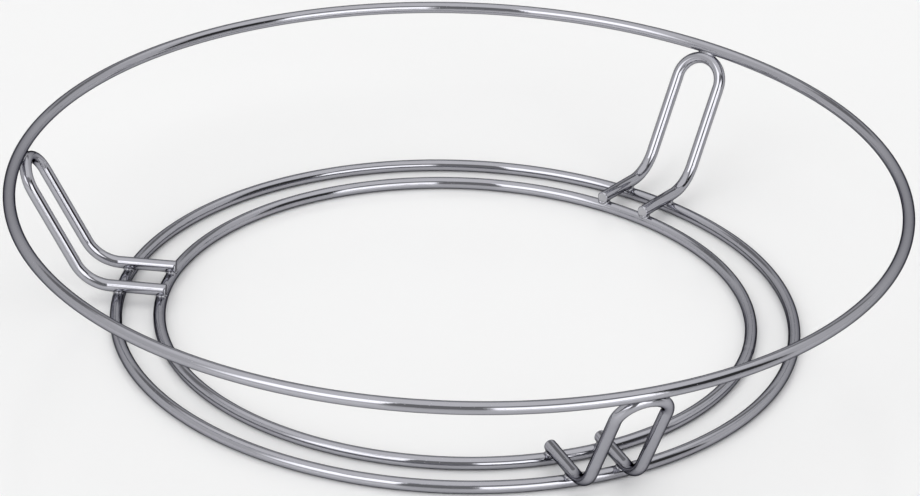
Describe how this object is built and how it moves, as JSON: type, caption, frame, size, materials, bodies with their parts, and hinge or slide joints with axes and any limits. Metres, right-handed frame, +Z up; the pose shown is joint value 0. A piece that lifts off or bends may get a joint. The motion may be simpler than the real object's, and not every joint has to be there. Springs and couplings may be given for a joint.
{
  "type": "wok ring",
  "caption": "Round wire stand that holds a round-bottomed wok over a gas burner: a wide top ring on hairpin legs that are welded to a pair of smaller base rings.",
  "frame": {"origin": "centre of the stand at the underside of the base rings, where it stands on the hob", "axes": "+Z up, the centreline of all the rings; the front leg is at -Y, the right leg at 30 degrees and the left leg at 150 degrees from +X"},
  "size_m": [0.29, 0.29, 0.05],
  "materials": {
    "steel_wire": "bright plated round wire, polished, with faint lines along the wire",
    "weld_metal": "small plated-over weld bead, slightly rough"
  },
  "bodies": {
    "root": {"top_ring": "steel_wire", "outer_base_ring": "steel_wire", "inner_base_ring": "steel_wire", "front_leg": "steel_wire", "right_leg": "steel_wire", "left_leg": "steel_wire", "front_foot_welds": "weld_metal", "right_foot_welds": "weld_metal", "left_foot_welds": "weld_metal", "front_rim_weld": "weld_metal", "right_rim_weld": "weld_metal", "left_rim_weld": "weld_metal"}
  },
  "joints": []
}
